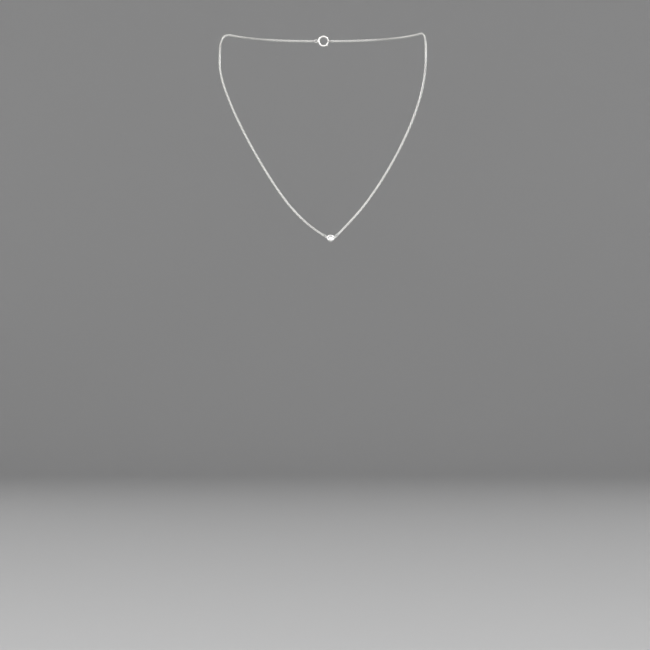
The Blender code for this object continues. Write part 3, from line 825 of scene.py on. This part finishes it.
def nib():
    """The thumb catch: a stem from the bolt out through the slot, and a domed round head."""
    outward = round_clasp(NIB_ANGLE, 1.0)[0]
    neck = NIB_TOP - NIB_HEAD_THICKNESS
    profile = [(CLASP_MAJOR, NIB_RADIUS), (neck - 0.05, NIB_RADIUS), (neck, NIB_RADIUS + 0.05)]
    profile += [(neck + 0.02, NIB_HEAD_RADIUS - 0.04), (neck + 0.06, NIB_HEAD_RADIUS)]
    for angle in np.radians(np.linspace(0, 80, 7)):
        rise = 0.1 + (NIB_HEAD_THICKNESS - 0.1) * math.sin(angle)
        profile.append((neck + rise, NIB_HEAD_RADIUS * math.cos(angle) ** 0.5))
    heights, radii = np.array(profile).T
    across = np.cross(outward, Y)
    firsts = np.broadcast_to(Y, (len(heights), 3))
    return bar(np.outer(heights, outward), firsts, np.broadcast_to(across, firsts.shape), radii, 32)


def add_clasp(metal, steel):
    angles, radii = rounded_ends(CLASP_MOUTH, 360 - CLASP_MOUTH, CLASP_TUBE, CLASP_EDGE)
    bore_start = CLASP_MOUTH - BORE_SPARE
    bores = []
    for first, last in ((bore_start, CLASP_STOP), (360 - bore_start, 360 - CLASP_STOP)):
        bores.append(curved_bar(np.linspace(first, last, 48), CLASP_BORE, 24))
    tube = curved_bar(angles, radii, 32)
    made = piece(
        "spring_ring", tube, metal, "clasp", ["clasp_tube"], cuts=[*bores, slot_cutter()]
    )
    points = points_of(made)
    reach = np.linalg.norm(points * (X + Z), axis=1)
    from_middle = np.hypot(reach - CLASP_MAJOR, points[:, 1])
    # painted shade inside the tube, on the walls of its bores and slot
    set_shade_and_dullness(made, np.where(from_middle < CLASP_TUBE - 0.08, 0.9, 0.0))

    bolt_angles, bolt_radii = rounded_ends(BOLT_TAIL, BOLT_TIP, BOLT_RADIUS, BOLT_EDGE)
    shape = curved_bar(bolt_angles, bolt_radii, 24)
    made = piece("bolt_and_nib", shape, metal, "bolt", ["clasp_bolt"], joins=[nib()])
    set_shade_and_dullness(made, np.zeros(len(made.data.vertices)))

    steps = SPRING_STEPS * SPRING_TURNS
    along = np.linspace(BOLT_TAIL - SPRING_SPARE, -CLASP_STOP + SPRING_SPARE, steps + 1)
    turns = 2 * math.pi * np.arange(steps + 1) / SPRING_STEPS
    outward = round_clasp(along, 1.0)
    arms = np.cos(turns)[:, None] * outward + np.outer(np.sin(turns), Y)
    ways = np.gradient(CLASP_MAJOR * outward + SPRING_RADIUS * arms, axis=0)
    seconds = np.array([unit(np.cross(way, arm)) for way, arm in zip(ways, arms)])
    coil = bar(CLASP_MAJOR * outward + SPRING_RADIUS * arms, arms, seconds, SPRING_WIRE, 8)
    made = piece("coil_spring", coil, steel, None, ["clasp_spring"])
    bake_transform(made)

    rings = (
        ("clasp_eyelet", "eyelet", Y, EYELET_MAJOR, EYELET_MINOR),
        ("end_ring", "soldered_end_ring", Z, END_RING_MAJOR, CLASP_RING_MINOR),
        ("catch_ring", "soldered_catch_ring", Z, CATCH_RING_MAJOR, CLASP_RING_MINOR),
    )
    for node, name, normal, major, minor in rings:
        centre = node_middle(node)
        joins = []
        if node == "clasp_eyelet":
            join = centre + (EYELET_MAJOR + EYELET_MINOR - 0.02) * X
            joins.append(bead(join, EYELET_SOLDER, (X, Y, Z)))
        shape = ring(centre, normal, major, minor)
        made = piece(name, shape, metal, "clasp", [node], joins=joins)
        ring_shade_and_dullness(made, centre, normal, major, minor)


# The studio


def add_stage():
    """A pale floor that curves up into a wall all round, well outside every view."""
    flat = WALL_RADIUS - WALL_BEND
    profile = [(0.0, FLOOR), (flat, FLOOR)]
    for angle in np.radians(np.linspace(0, 90, 13))[1:]:
        out, up = WALL_BEND * math.sin(angle), WALL_BEND * (1 - math.cos(angle))
        profile.append((flat + out, FLOOR + up))
    profile.append((WALL_RADIUS, FLOOR + WALL_HEIGHT))
    maker = bmesh.new()
    verts = [maker.verts.new((radius, 0, z)) for radius, z in profile]
    edges = [maker.edges.new(pair) for pair in zip(verts, verts[1:])]
    about = {"axis": (0, 0, 1), "cent": (0, 0, 0), "angle": 2 * math.pi}
    bmesh.ops.spin(maker, geom=verts + edges, steps=96, use_merge=True, **about)
    bmesh.ops.remove_doubles(maker, verts=maker.verts, dist=1e-5)
    mesh = bpy.data.meshes.new("studio_floor")
    maker.to_mesh(mesh)
    maker.free()
    mesh.shade_smooth()
    add_object("studio_floor", mesh, matt("pale_floor", FLOOR_TONE))


def add_softbox(name, place, width, height, radiance):
    """A soft box that faces the necklace. Views don't show it, but the metal reflects it."""
    data = bpy.data.lights.new(name, "AREA")
    data.shape = "RECTANGLE"
    data.size, data.size_y = width, height
    data.energy = radiance * math.pi * width * height
    made = bpy.data.objects.new(name, data)
    made.location = place
    made.rotation_euler = (Vector(LIT_POINT) - Vector(place)).to_track_quat("-Z", "Y").to_euler()
    made.visible_camera = False
    bpy.context.scene.collection.objects.link(made)


def add_lights():
    """Large soft boxes in a dim room: polished wire shows little but what it reflects."""
    for softbox in SOFTBOXES:
        add_softbox(*softbox)
    world = bpy.data.worlds.new("studio")
    world.use_nodes = True
    world.node_tree.nodes["Background"].inputs["Color"].default_value = ROOM_TONE
    bpy.context.scene.world = world
    bpy.context.scene.view_settings.view_transform = "Standard"


def add_camera():
    data = bpy.data.cameras.new("camera")
    data.lens = data.sensor_width * CAMERA_DISTANCE / VIEW_WIDTH
    made = bpy.data.objects.new("camera", data)
    x, y, z = VIEW_MIDDLE
    made.location = (x, y - CAMERA_DISTANCE, z)
    made.rotation_euler = (math.radians(90), 0, 0)
    bpy.context.scene.collection.objects.link(made)
    bpy.context.scene.camera = made


def main():
    add_camera()
    chain_silver, cup_silver, clasp_silver = (silver(name, *look) for name, look in SILVERS.items())
    left_end = node_middle("end_ring") - (END_RING_MAJOR - CLASP_RING_MINOR) * X
    right_end = node_middle("catch_ring") + (CATCH_RING_MAJOR - CLASP_RING_MINOR) * X
    add_strand("left", -1, LEFT_DRAPE, left_end, chain_silver)
    add_strand("right", 1, RIGHT_DRAPE, right_end, chain_silver)
    add_jump_rings(chain_silver)
    add_pendant(cup_silver, clear_stone())
    add_clasp(clasp_silver, spring_steel())
    add_stage()
    add_lights()


main()
